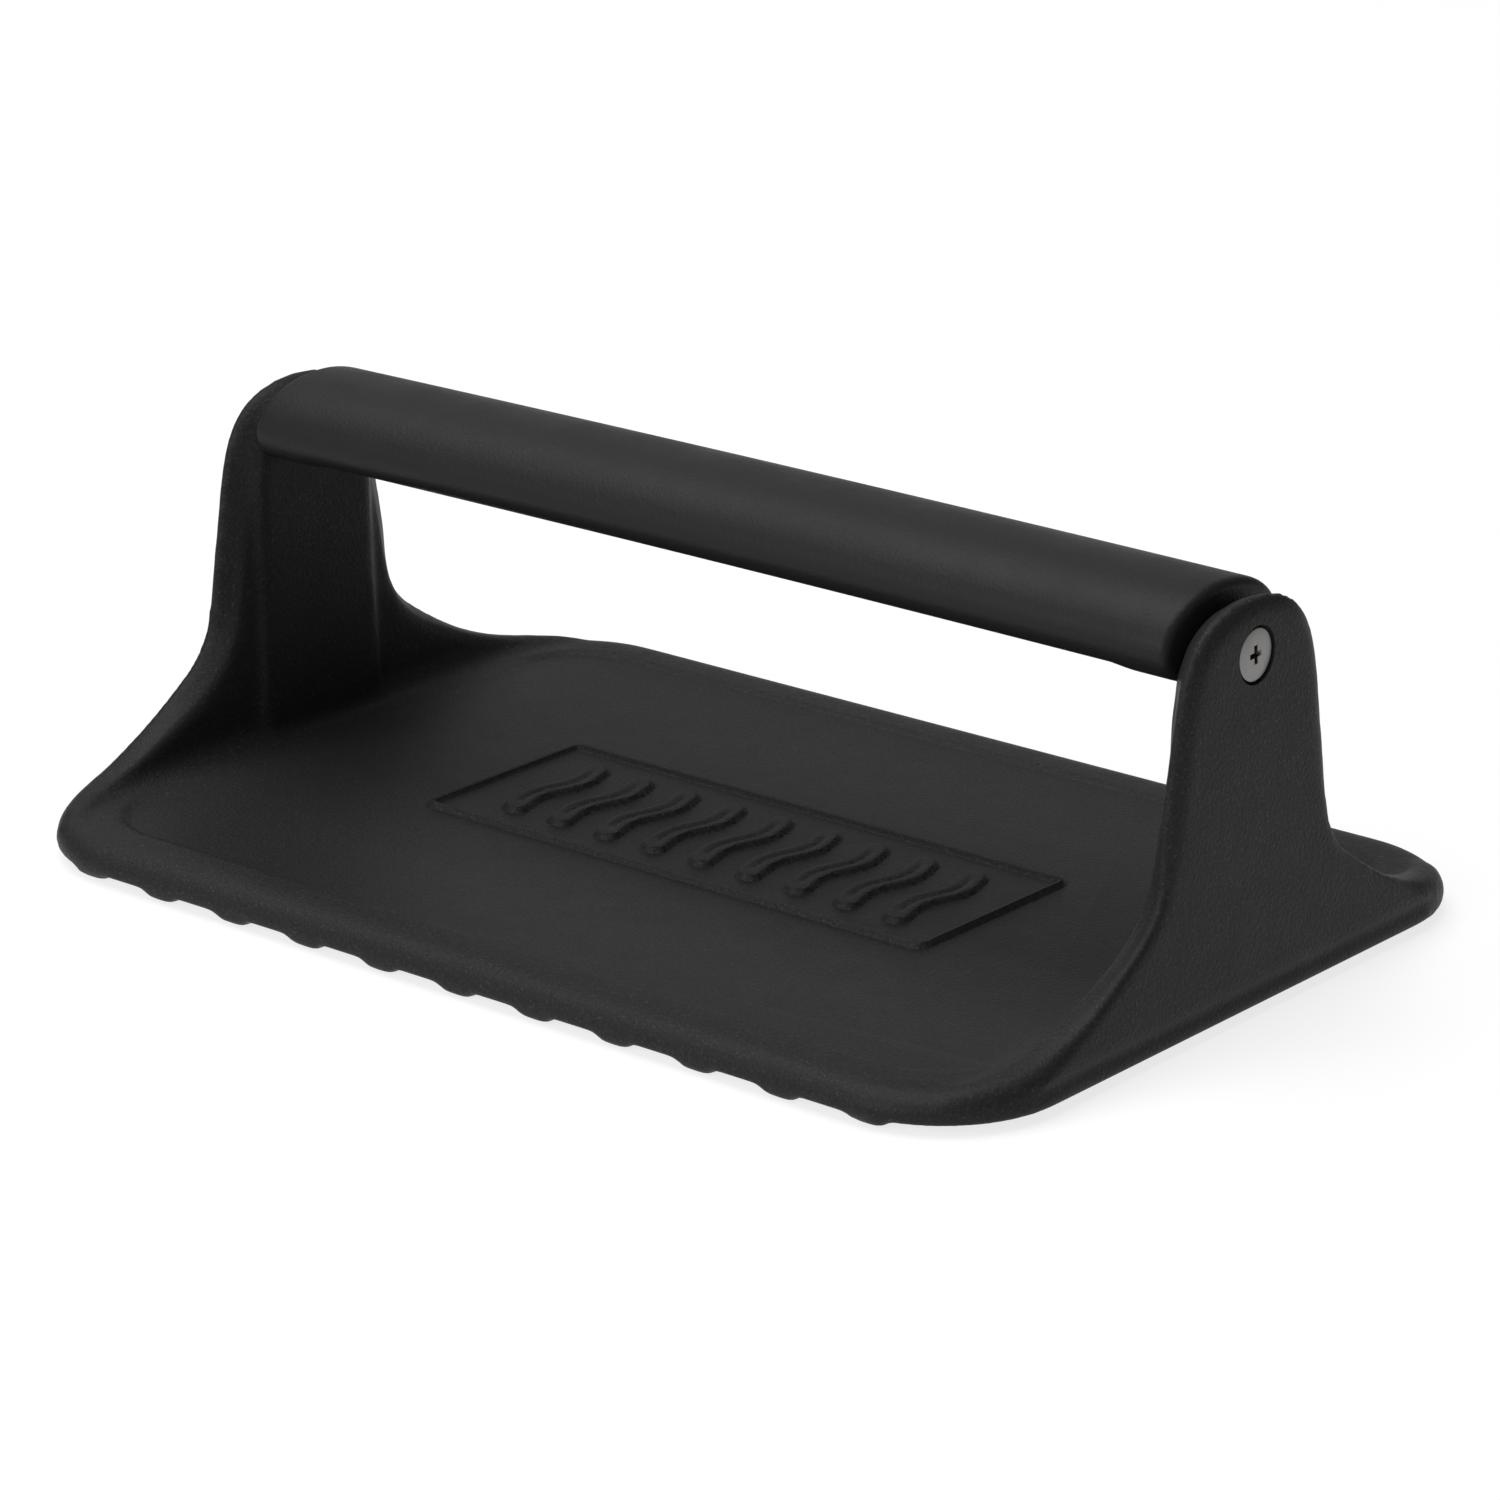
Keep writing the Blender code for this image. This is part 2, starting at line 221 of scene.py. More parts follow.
def makeIron():
    # Cast iron under a baked black silicone coating, sprayed: near black, satin,
    # with orange peel over the slow waves of a sand casting.
    v = ironFinish
    sockets = {"IOR": 1.5, "Specular IOR Level": 0.09}
    material, tree, shader = newMaterial("bakedBlackCoatingOnCastIron", sockets)
    place = addNode(tree, "ShaderNodeTexCoord")
    peel = addNode(
        tree, "ShaderNodeTexNoise",
        {"Scale": 1 / (v["peelSize"] * mm), "Detail": 2.0, "Roughness": 0.45},
        {"Vector": place.outputs["Object"]},
    )
    cast = addNode(
        tree, "ShaderNodeTexNoise",
        {"Scale": 1 / (v["castSize"] * mm), "Detail": 3.0, "Roughness": 0.5},
        {"Vector": place.outputs["Object"]},
    )
    grain = addNode(
        tree, "ShaderNodeTexNoise",
        {"Scale": 1 / (v["grainSize"] * mm), "Detail": 1.0},
        {"Vector": place.outputs["Object"]},
    )
    castBump = addNode(
        tree, "ShaderNodeBump", {"Strength": 1.0, "Distance": v["castDepth"] * mm},
        {"Height": cast.outputs["Fac"]},
    )
    peelBump = addNode(
        tree, "ShaderNodeBump", {"Strength": 1.0, "Distance": v["peelDepth"] * mm},
        {"Height": peel.outputs["Fac"], "Normal": castBump.outputs["Normal"]},
    )
    grainBump = addNode(
        tree, "ShaderNodeBump", {"Strength": 1.0, "Distance": v["grainDepth"] * mm},
        {"Height": grain.outputs["Fac"], "Normal": peelBump.outputs["Normal"]},
    )
    gloss = addNode(
        tree, "ShaderNodeMapRange",
        {"From Min": 0.35, "From Max": 0.65, "To Min": v["roughness"][0], "To Max": v["roughness"][1]},
        {"Value": cast.outputs["Fac"]},
    )
    tint = addNode(tree, "ShaderNodeValToRGB", {}, {"Fac": grain.outputs["Fac"]})
    thick, thin, bare = v["colourAt"]
    stops = tint.color_ramp.elements
    stops[0].position, stops[0].color = thick, linear(v["colour"])
    stops[1].position, stops[1].color = thin, linear(v["wornColour"])
    stops.new(bare).color = linear(v["speckColour"])
    tree.links.new(tint.outputs["Color"], shader.inputs["Base Color"])
    tree.links.new(gloss.outputs["Result"], shader.inputs["Roughness"])
    tree.links.new(grainBump.outputs["Normal"], shader.inputs["Normal"])
    return material


gripFinish = {
    "colour": "#1f1f20",
    "roughness": (0.42, 0.48),
    "grainSize": 0.6,  # mm; the mould's spark-eroded grain is about 0.15 mm, drawn coarser so that it shows
    "grainDepth": 0.08,  # mm, drawn deeper for the same reason
    "flowSize": 9.0,  # mm across one wave left by the flow of the moulding
    "flowDepth": 0.015,  # mm
}


def makeGripPlastic():
    # Glass-filled phenolic, moulded: black, satin, with a fine even grain from the mould.
    v = gripFinish
    sockets = {"IOR": 1.55, "Specular IOR Level": 0.11}
    material, tree, shader = newMaterial("mouldedBlackPhenolic", sockets)
    place = addNode(tree, "ShaderNodeTexCoord")
    grain = addNode(
        tree, "ShaderNodeTexNoise",
        {"Scale": 1 / (v["grainSize"] * mm), "Detail": 2.0, "Roughness": 0.55},
        {"Vector": place.outputs["Object"]},
    )
    flow = addNode(
        tree, "ShaderNodeTexNoise",
        {"Scale": 1 / (v["flowSize"] * mm), "Detail": 2.0},
        {"Vector": place.outputs["Object"]},
    )
    flowBump = addNode(
        tree, "ShaderNodeBump", {"Strength": 1.0, "Distance": v["flowDepth"] * mm},
        {"Height": flow.outputs["Fac"]},
    )
    grainBump = addNode(
        tree, "ShaderNodeBump", {"Strength": 1.0, "Distance": v["grainDepth"] * mm},
        {"Height": grain.outputs["Fac"], "Normal": flowBump.outputs["Normal"]},
    )
    gloss = addNode(
        tree, "ShaderNodeMapRange",
        {"From Min": 0.35, "From Max": 0.65, "To Min": v["roughness"][0], "To Max": v["roughness"][1]},
        {"Value": flow.outputs["Fac"]},
    )
    shader.inputs["Base Color"].default_value = linear(v["colour"])
    tree.links.new(gloss.outputs["Result"], shader.inputs["Roughness"])
    tree.links.new(grainBump.outputs["Normal"], shader.inputs["Normal"])
    return material


screwFinish = {
    "colour": "#7c7b79",
    "roughness": (0.30, 0.45),
    "mottleSize": 0.20,  # mm; the plating's crystals are far finer, drawn coarser so that they show
    "mottleDepth": 0.006,  # mm
}


def makeZinc():
    # Steel, bright zinc plated: pale cool grey metal, softly mottled by the plating bath.
    v = screwFinish
    material, tree, shader = newMaterial("brightZincPlatedSteel", {"Metallic": 1.0})
    place = addNode(tree, "ShaderNodeTexCoord")
    mottle = addNode(
        tree, "ShaderNodeTexNoise",
        {"Scale": 1 / (v["mottleSize"] * mm), "Detail": 3.0},
        {"Vector": place.outputs["Object"]},
    )
    gloss = addNode(
        tree, "ShaderNodeMapRange",
        {"From Min": 0.3, "From Max": 0.7, "To Min": v["roughness"][0], "To Max": v["roughness"][1]},
        {"Value": mottle.outputs["Fac"]},
    )
    bump = addNode(
        tree, "ShaderNodeBump", {"Strength": 1.0, "Distance": v["mottleDepth"] * mm},
        {"Height": mottle.outputs["Fac"]},
    )
    shader.inputs["Base Color"].default_value = linear(v["colour"])
    tree.links.new(gloss.outputs["Result"], shader.inputs["Roughness"])
    tree.links.new(bump.outputs["Normal"], shader.inputs["Normal"])
    return material


brassFinish = {
    "colour": "#d8b26a",
    "roughness": (0.26, 0.40),
    "turningPitch": 0.25,  # mm; a tool's rings are about 0.1 mm apart, drawn coarser so that they show
    "turningDepth": 0.01,  # mm
    "waveUnit": 0.314,  # metres between two bands of a wave texture at Scale 1
}


def makeBrass():
    # Free-cutting brass, turned: warm yellow metal with fine rings left by the tool.
    v = brassFinish
    material, tree, shader = newMaterial("turnedBrass", {"Metallic": 1.0})
    place = addNode(tree, "ShaderNodeTexCoord")
    rings = addNode(
        tree, "ShaderNodeTexWave",
        {
            "wave_type": "BANDS", "bands_direction": "X",
            "Scale": v["waveUnit"] / (v["turningPitch"] * mm), "Distortion": 0.3,
        },
        {"Vector": place.outputs["Object"]},
    )
    gloss = addNode(
        tree, "ShaderNodeMapRange",
        {"To Min": v["roughness"][0], "To Max": v["roughness"][1]},
        {"Value": rings.outputs["Fac"]},
    )
    bump = addNode(
        tree, "ShaderNodeBump", {"Strength": 1.0, "Distance": v["turningDepth"] * mm},
        {"Height": rings.outputs["Fac"]},
    )
    shader.inputs["Base Color"].default_value = linear(v["colour"])
    tree.links.new(gloss.outputs["Result"], shader.inputs["Roughness"])
    tree.links.new(bump.outputs["Normal"], shader.inputs["Normal"])
    return material


ironMaterial = makeIron()
gripMaterial = makeGripPlastic()
zincMaterial = makeZinc()
brassMaterial = makeBrass()
print("materials made")


casting = {
    "voxel": 0.9,  # all the solids of the casting are joined by a remesh this fine
    "smoothing": 7,
    "planCorner": 24.0,
    "planCornerSteps": 14,
    "underside": 1.5,
    "rimHeight": 7.0,
    "rimRounding": (7.0, 3.5),  # how far in, how far down
    "lowerRounding": 1.2,
    "wallTop": 74.6,
    "wallFaceTop": 105.2,  # inner face of an end wall, at its top and at the floor
    "wallFaceFoot": 103.4,
    "wallTopStep": 1.0,  # how much nearer the face comes to the grip at the top
    "wallStepLevels": (58, 68),
    "wallOuterAcross": (2.0, 0.7, 3.6),  # outer rounding along X: at the upright, on the sweep, at the foot
    "wallOuterDown": (3.8, 1.9, 3.2),  # the same rounding, down the face
    "wallOuterLevels": (8.0, 13.0, 27.0, 38.0),  # foot ends, sweep starts, sweep ends, upright starts
    "wallOuterEllipse": 0.8,  # the outer rounding is this share quarter ellipse, the rest chamfer
    "wallSlantCurve": 1.25,  # 1 would draw the slant under the crest as a flat chamfer
    "wallInnerRounding": 0.7,
    "wallFoot": [(71.5, 5.6), (72.5, 4.4), (72.5, 3.0)],  # end of the outline, inside the plate
    "filletReach": 3.6,
    "filletBack": (2.5, 1.0),  # how far the fillet's solid runs into the wall and the plate
    "filletHalfWidth": 66,
    "padOutline": [(15.8, 6.2), (14.8, 56.0), (13.6, 63.5), (10.0, 68.9), (5.0, 71.5)],  # half: across, up
    "padBack": 106.5,
    "padFaceTop": 103.3,
    "padFaceFoot": 102.2,
    "padRounding": 0.9,
    "ribPitch": 17.7,
    "ribCount": 11,
    "ribWidth": 6.8,
    "ribHeight": 4.5,  # the top of it lies inside the plate
    "ribEndInset": 0.4,  # how far a rib stops short of the plate's edge
    "ribRounding": 1.2,
    "recessHalf": (98.5, 65.6),
    "recessCorner": 14.0,
    "recessDepth": 0.75,
    "recessEdge": 0.8,
    "recessSoftEdge": (5.0, 3.0),  # how much further in and out the edge spreads along an end wall
    "recessSoftFrom": (86, 93),  # where along the press that starts and is full
    "recessSoftTo": (42, 58),  # where across the press it starts to end and has ended
    "holeMouth": 5.1,
    "holeShank": 2.9,
    "holeSink": 0.7,  # straight part above the countersink
    "holeDepth": 9.0,
}

# half of an end wall's outline from the side: across, up, and how far its inner edge leans in from it
crest = [
    (0.0, 74.6, 1.6), (6.6, 73.7, 1.9), (10.9, 72.2, 2.3), (14.3, 69.9, 2.8),
    (17.0, 66.4, 3.3), (18.7, 62.4, 3.5), (19.7, 58.5, 3.7), (20.3, 55.5, 3.8),
    (21.4, 48.5, 3.9), (22.4, 42.9, 4.0), (23.2, 37.0, 3.9), (23.7, 32.8, 3.5),
    (24.7, 28.7, 2.9), (27.6, 24.5, 2.7), (32.1, 20.9, 2.5), (37.0, 17.6, 1.6),
    (42.2, 14.5, 0.8), (48.3, 11.6, 0.1), (55.2, 9.4, -0.2), (60.8, 8.3, -0.1),
    (65.7, 7.5, 0.0), (69.2, 6.8, 0.0),
]

floorLevel = casting["rimHeight"] - casting["recessDepth"]


def innerCrestHeight(across):
    # height of a wall's inner edge, which leans in about evenly across and down
    lean = 0.7
    edge = [(along - lean * inset, up - lean * inset) for along, up, inset in crest]
    return np.interp(np.abs(across), [along for along, up in edge], [up for along, up in edge])


def cornerShear(across):
    # how far the outer end draws back where the plan corner rounds off
    radius = casting["planCorner"]
    over = np.clip(np.abs(across) - (halfWidth - radius), 0, radius)
    return radius - np.sqrt(radius * radius - over * over)


def roundEdge(shape, face, inwards, outwards, steps=7):
    # insets a face step by step along a quarter ellipse
    for step in range(steps):
        start, end = pi / 2 * step / steps, pi / 2 * (step + 1) / steps
        bmesh.ops.inset_region(
            shape, faces=[face], use_even_offset=True, use_boundary=True,
            thickness=inwards * (cos(start) - cos(end)), depth=outwards * (sin(end) - sin(start)),
        )


def addPlate(shape):
    # a round-cornered slab with a wide rounding above its edge and a small one below
    v = casting
    sheet = bmesh.ops.create_grid(shape, x_segments=1, y_segments=1, size=1)["verts"]
    bmesh.ops.transform(shape, verts=sheet, matrix=Matrix.Diagonal((halfLength, halfWidth, 1, 1)))
    waist = v["rimHeight"] - v["rimRounding"][1]
    bmesh.ops.translate(shape, verts=sheet, vec=(0, 0, waist))
    bmesh.ops.bevel(
        shape, geom=sheet, offset=v["planCorner"], offset_type="OFFSET", affect="VERTICES",
        segments=v["planCornerSteps"], profile=0.5, material=-1,
    )
    top = max(shape.faces, key=lambda face: face.calc_area())
    bottom = extrudedFace(shape, top)
    bmesh.ops.translate(shape, verts=bottom.verts[:], vec=(0, 0, v["underside"] + v["lowerRounding"] - waist))
    bmesh.ops.recalc_face_normals(shape, faces=shape.faces)
    roundEdge(shape, top, v["rimRounding"][0], v["rimRounding"][1])
    roundEdge(shape, bottom, v["lowerRounding"], v["lowerRounding"], 4)


def addWall(shape):
    # the right end wall: its outline, carried outwards over a wide rounding
    # and inwards over a slanted edge and a small rounding
    v = casting
    line = smoothLine([point[:2] for point in crest], 5)
    lean = [np.interp(across, [p[0] for p in crest], [p[2] for p in crest]) for across, up in line]
    half = [(*point, inset) for point, inset in zip(line, lean)]
    half += [(*point, 0.0) for point in v["wallFoot"]]
    outline = np.array(half + [(-y, z, inset) for y, z, inset in reversed(half[1:])])
    tangent = np.roll(outline[:, :2], -1, 0) - np.roll(outline[:, :2], 1, 0)
    inward = np.stack([tangent[:, 1], -tangent[:, 0]], 1)
    inward /= np.linalg.norm(inward, axis=1)[:, None]
    middle = np.array((0.0, 30.0))  # any place well inside the outline
    inward *= np.sign((inward[0] * (middle - outline[0, :2])).sum())
    height, lean = outline[:, 1], outline[:, 2]
    across, down = [
        np.interp(height, v["wallOuterLevels"], [v[key][place] for place in (2, 1, 1, 0)])
        for key in ("wallOuterAcross", "wallOuterDown")
    ]
    down[height < 6.0] = 0.5  # hardly any rounding inside the plate

    def innerFace(level):
        share = np.clip((v["wallTop"] - level) / (v["wallTop"] - v["rimHeight"]), 0, 1)
        face = v["wallFaceTop"] + (v["wallFaceFoot"] - v["wallFaceTop"]) * share
        return face - v["wallTopStep"] * float(ramp(level, *v["wallStepLevels"]))

    ellipse, chamfer = v["wallOuterEllipse"], 1 - v["wallOuterEllipse"]
    outerSection = []
    for share in np.linspace(0, 1, 8)[1:]:
        turn = share * pi / 2
        out = 1 - ellipse * sin(turn) - chamfer * share
        outerSection.append((out, ellipse * (1 - cos(turn)) + chamfer * share))
    station = shape.verts.layers.int.new("station")
    ring = []
    for index in range(len(outline)):
        vertex = shape.verts.new((halfLength - across[index], outline[index, 0], outline[index, 1]))
        vertex[station] = index
        ring.append(vertex)
    outerFace = shape.faces.new(ring)
    innerEnd = extrudedFace(shape, outerFace)

    def sweep(face, place):
        face = extrudedFace(shape, face)
        for vertex in face.verts:
            index = vertex[station]
            x, inset = place(index)
            vertex.co = (x, *(outline[index, :2] + inward[index] * inset))
        return face

    rounding = v["wallInnerRounding"]

    def slanted(index, share):
        start = halfLength - across[index]
        end = innerFace(height[index]) + rounding
        return start + (end - start) * share, lean[index] * share ** v["wallSlantCurve"]

    def turnedOver(index, turn):
        inset = lean[index] + rounding * (1 - cos(turn)) * (height[index] > 6.5)
        return innerFace(height[index]) + rounding * (1 - sin(turn)), inset

    for out, inset in outerSection:
        outerFace = sweep(outerFace, lambda index: (halfLength - across[index] * out, down[index] * inset))
    for share in (0.25, 0.5, 0.75, 1.0):
        innerEnd = sweep(innerEnd, lambda index: slanted(index, share))
    for turn in np.linspace(0, pi / 2, 5)[1:]:
        innerEnd = sweep(innerEnd, lambda index: turnedOver(index, turn))


def addFillet(shape):
    # the hollow between an end wall's inner face and the floor
    v = casting
    reach, (back, below) = v["filletReach"], v["filletBack"]
    arc = [(-reach * (1 - sin(turn)), reach * (1 - cos(turn))) for turn in np.linspace(0, pi / 2, 9)]
    section = arc + [(back, reach), (back, -below), (-reach, -below)]
    stations = np.linspace(-v["filletHalfWidth"], v["filletHalfWidth"], 67)

    def place(point, across):
        # the fillet shrinks to a tenth where the crest comes down to the rim
        share = np.clip((innerCrestHeight(across) - v["rimHeight"] - 1.0) / reach, 0.10, 1)
        out, up = point
        x = v["wallFaceFoot"] + (out * share if out < 0 else out)
        z = v["rimHeight"] + (up * share if up > 0 else up)
        return (x - cornerShear(across), across, z)

    station = shape.verts.layers.int.new("station")
    ring = []
    for index, point in enumerate(section):
        vertex = shape.verts.new(place(point, stations[0]))
        vertex[station] = index
        ring.append(vertex)
    face = shape.faces.new(ring)
    for across in stations[1:]:
        face = extrudedFace(shape, face)
        for vertex in face.verts:
            vertex.co = place(section[vertex[station]], across)


def addPad(shape):
    # the clamping pad behind the grip's end
    v = casting
    outline = v["padOutline"] + [(-y, z) for y, z in reversed(v["padOutline"])]
    ring = [shape.verts.new((v["padBack"], y, z)) for y, z in outline]
    front = extrudedFace(shape, shape.faces.new(ring))
    for vertex in front.verts:
        share = (v["wallTop"] - vertex.co.z) / (v["wallTop"] - v["rimHeight"])
        vertex.co.x = v["padFaceTop"] + (v["padFaceFoot"] - v["padFaceTop"]) * share
    bmesh.ops.bevel(
        shape, geom=front.edges[:], offset=v["padRounding"], offset_type="OFFSET", affect="EDGES",
        segments=3, profile=0.5, material=-1,
    )


def addRib(shape, x):
    # one searing rib across the plate, shorter where the plan corner cuts it off
    v = casting
    made = bmesh.ops.create_cube(shape, size=1)["verts"]
    over = max(0.0, abs(x) + v["ribWidth"] / 2 - (halfLength - v["planCorner"]))
    cornerLoss = v["planCorner"] - (v["planCorner"] ** 2 - over ** 2) ** 0.5
    length = 2 * (halfWidth - v["ribEndInset"] - cornerLoss)
    bmesh.ops.scale(shape, verts=made, vec=(v["ribWidth"], length, v["ribHeight"]))
    bmesh.ops.translate(shape, verts=made, vec=(x, 0, v["ribHeight"] / 2))
    lower = [
        edge for edge in shape.edges
        if all(vertex.co.z < 0.001 and vertex in made for vertex in edge.verts)
    ]
    bmesh.ops.bevel(
        shape, geom=lower, offset=v["ribRounding"], offset_type="OFFSET", affect="EDGES",
        segments=4, profile=0.5, material=-1,
    )


def shearPart(mesh):
    # draws a wall's ends back along the plan corners
    for vertex in mesh.vertices:
        vertex.co.x -= float(cornerShear(vertex.co.y))


def castingMesh():
    # all the solids of the casting in one mesh, still running through each other
    v = casting
    parts = [solidMesh(addPlate)]
    for build in (addWall, addFillet, addPad):
        right = solidMesh(build)
        if build is addWall:
            shearPart(right)
        left = right.copy()
        left.transform(Matrix.Scale(-1, 4, (1, 0, 0)))
        left.flip_normals()
        parts += [right, left]
    for index in range(v["ribCount"]):
        parts.append(solidMesh(addRib, (index - (v["ribCount"] - 1) / 2) * v["ribPitch"]))
    shape = bmesh.new()
    for part in parts:
        shape.from_mesh(part)
        bpy.data.meshes.remove(part)
    return meshOf(shape, "solids")


def moveCoordinates(mesh, move):
    # moves every vertex to what move makes of the places and normals
    places = np.empty(len(mesh.vertices) * 3)
    mesh.vertices.foreach_get("co", places)
    places = places.reshape(-1, 3)
    normals = np.empty(len(mesh.vertices) * 3)
    mesh.vertices.foreach_get("normal", normals)
    mesh.vertices.foreach_set("co", move(places, normals.reshape(-1, 3)).ravel())
    mesh.update()


def sinkRecess(places, normals):
    # lowers the floor inside a round-cornered line
    v = casting
    x, y, z = places.T
    outside = outsideOf(x, y, v["recessHalf"], v["recessCorner"])
    alongWall = ramp(np.abs(x), *v["recessSoftFrom"]) * (1 - ramp(np.abs(y), *v["recessSoftTo"]))
    softIn, softOut = [soft * alongWall for soft in v["recessSoftEdge"]]
    inside = 1 - ramp(outside, -v["recessEdge"] - softIn, v["recessEdge"] * 0.4 + softOut)
    facing = ramp(normals[:, 2], 0.0, 0.4) * (z > 4.5) * (1 - ramp(z, 8, 15))  # top faces, not the walls
    places[:, 2] -= v["recessDepth"] * inside * facing
    places[:, 2] = np.clip(places[:, 2], 0, None)
    return places


def joinFlats(mesh):
    # joins up the fine flat faces of the floor, the ends, the underside and the ribs, which saves triangles
    shape = bmesh.new()
    shape.from_mesh(mesh)
    square, near = 0.9999, 0.02
    roundPanel = (62, 26)  # the floor stays fine round the panel

    def isFlat(face):
        centre = face.calc_center_median()
        if abs(face.normal.x) > square:
            return abs(abs(centre.x) - halfLength) < near
        if abs(face.normal.z) < square:
            return False
        clearOfPanel = abs(centre.x) > roundPanel[0] or abs(centre.y) > roundPanel[1]
        onFloor = abs(centre.z - floorLevel) < near and clearOfPanel
        return onFloor or abs(centre.z - casting["underside"]) < near or centre.z < near

    flat = {face.index for face in shape.faces if isFlat(face)}
    edges = [edge for edge in shape.edges if all(face.index in flat for face in edge.link_faces)]
    verts = [vertex for vertex in shape.verts if all(face.index in flat for face in vertex.link_faces)]
    bmesh.ops.dissolve_limit(shape, angle_limit=radians(1), verts=verts, edges=edges)
    shape.to_mesh(mesh)
    shape.free()
    return mesh


solids = castingMesh()
print("solids drawn:", len(solids.polygons), "faces")
casted = appliedMesh("casting", solids, [
    ("REMESH", {"mode": "VOXEL", "voxel_size": casting["voxel"]}),
    ("SMOOTH", {"factor": 0.5, "iterations": casting["smoothing"]}),
])
print("remeshed:", len(casted.polygons), "faces")
moveCoordinates(casted, sinkRecess)


# raised relief on the floor: a plain border round nine short wavy rashers
panel = {
    "half": (57.4, 21.3),
    "corner": 2.6,
    "lineCrest": 0.3,  # width of the border's crest, and of each sloping side
    "lineSlope": 1.0,
    "height": 0.95,
    "cell": 0.5,
    "margin": 1.0,  # how far the relief's own floor runs past the border
    "rasherCount": 9,
    "rasherLength": 29.0,
    "rasherWidth": 5.8,
    "rasherPitch": 11.0,
    "rasherSwing": 1.0,
    "rasherWaves": 1.5,
    "rasherSlope": 1.0,
    "streakWidth": 0.55,  # the streak of fat down the middle of a rasher
    "streakDepth": 0.4,
}


def reliefHeight(x, y):
    # 0 on the floor, 1 on top of the border and the rashers
    v = panel
    outside = outsideOf(x, y, v["half"], v["corner"])
    fromLine = np.abs(outside + v["lineCrest"] / 2 + v["lineSlope"] / 2)
    height = 1 - ramp(fromLine, v["lineCrest"] / 2, v["lineCrest"] / 2 + v["lineSlope"])
    for number in range(v["rasherCount"]):
        middle = (number - (v["rasherCount"] - 1) / 2) * v["rasherPitch"]
        wave = middle + v["rasherSwing"] * np.sin(2 * pi * v["rasherWaves"] * y / v["rasherLength"])
        offset = x - wave
        reach = v["rasherLength"] / 2 - v["rasherWidth"] / 2
        edge = np.hypot(offset, np.clip(np.abs(y) - reach, 0, None)) - v["rasherWidth"] / 2
        strip = 1 - ramp(edge, -v["rasherSlope"] * 0.8, v["rasherSlope"] * 0.2)
        streak = np.exp(-((offset / v["streakWidth"]) ** 2)) * (1 - ramp(np.abs(y), reach - 3, reach))
        height = np.maximum(height, strip * (1 - v["streakDepth"] * streak))
    return height


def addRelief(shape):
    # a block with the relief on top, which starts just under the floor
    v = panel
    halfX, halfY = [half + v["margin"] for half in v["half"]]
    cells = [int(2 * half / v["cell"]) for half in (halfX, halfY)]
    made = bmesh.ops.create_grid(shape, x_segments=cells[0], y_segments=cells[1], size=1)["verts"]
    places = np.array([vertex.co[:] for vertex in made]) * (halfX, halfY, 1)
    under = 0.06
    raised = floorLevel - under + (v["height"] + under) * reliefHeight(places[:, 0], places[:, 1])
    for vertex, place, up in zip(made, places, raised):
        vertex.co = (place[0], place[1], up)
    border = [edge for edge in shape.edges if edge.is_boundary]
    grown = bmesh.ops.extrude_edge_only(shape, edges=border)["geom"]
    for item in grown:
        if isinstance(item, bmesh.types.BMVert):
            item.co.z = floorLevel - 1.2
    bmesh.ops.contextual_create(shape, geom=[item for item in grown if isinstance(item, bmesh.types.BMEdge)])


def addHole(shape, side):
    # clearance hole and countersink of a grip screw, turned about its axis
    v = casting
    mouth, shank, sink, depth = v["holeMouth"], v["holeShank"], v["holeSink"], v["holeDepth"]
    cone = [(mouth, -sink), (shank, -sink - (mouth - shank))]
    turned(shape, [(0, 1.0), (mouth, 1.0), *cone, (shank, -depth), (0, -depth)], side)


relief = solidMesh(addRelief)
holes = [solidMesh(addHole, side) for side in (-1, 1)]
casted = joinFlats(casted)
print("flats joined:", len(casted.polygons), "faces")
casted = carvedMesh("casting", casted, holes, [relief])
base = newPiece("castIronPress", casted, ironMaterial, 40)
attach(base, "root")
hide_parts("press_base")
base.data.calc_loop_triangles()
print("casting done:", len(base.data.loop_triangles), "triangles")


grip = {
    "halfLength": 103.1,
    "halfWidth": 16.5,
    "axisHeight": 66.7,
    "rise": 9.35,  # half height of the oval above the axis, and below it
    "drop": 6.6,
    "arch": 0.45,  # how much higher the middle stands than the ends
    "landDrop": 0.6,  # the underside comes down this far towards each end
    "landStart": 88.5,
    "landEnd": 94.0,
    "endRounding": 1.8,
    "roundSteps": 64,
    "pocketRadius": 4.3,  # seat of the threaded insert
    "pocketDepth": 14.8,
}


